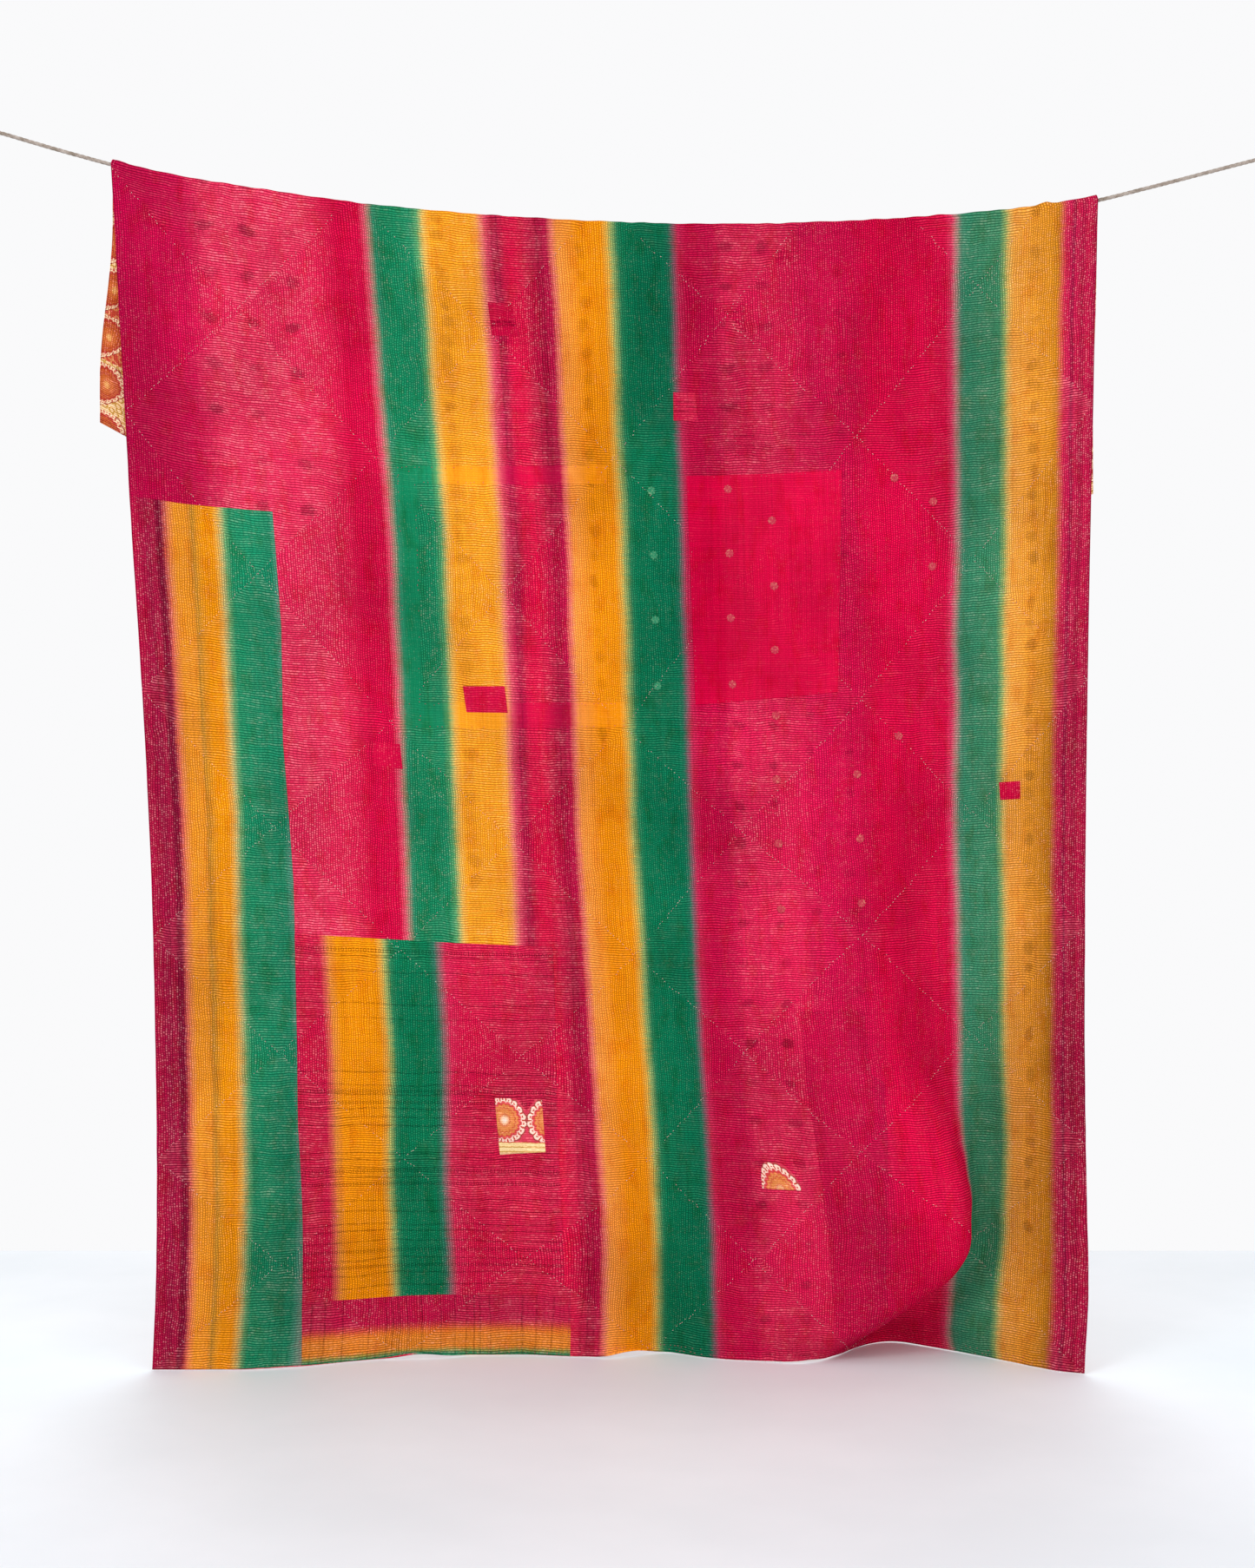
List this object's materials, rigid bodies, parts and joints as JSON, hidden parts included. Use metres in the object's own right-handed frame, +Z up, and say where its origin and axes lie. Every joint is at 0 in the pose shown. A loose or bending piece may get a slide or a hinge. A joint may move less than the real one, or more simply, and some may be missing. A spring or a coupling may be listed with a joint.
{
  "type": "kantha quilt on a rope line",
  "caption": "Stitched patchwork cotton quilt with wide dip-dyed stripes, folded over a sagging jute rope that is tied to an eye plate on each wall.",
  "frame": {"origin": "centre of the left eye plate's back face, where it meets the left wall", "axes": "+X along the rope from the left wall to the right wall, +Y behind the quilt, +Z up"},
  "size_m": [2.2067, 0.1876, 1.957],
  "materials": {
    "stitched_cotton": "soft washed cotton, dip-dyed in wide crimson, gold and green stripes, covered in rows of pale running stitch, matte",
    "jute": "three-strand twisted jute, pale grey-beige, dry and slightly hairy",
    "zinc_steel": "zinc-plated steel, satin"
  },
  "bodies": {
    "root": {"quilt": "stitched_cotton", "rope": "jute", "rope_knot_left": "jute", "rope_knot_right": "jute", "eye_plate_left": "zinc_steel", "eye_plate_right": "zinc_steel"}
  },
  "joints": []
}
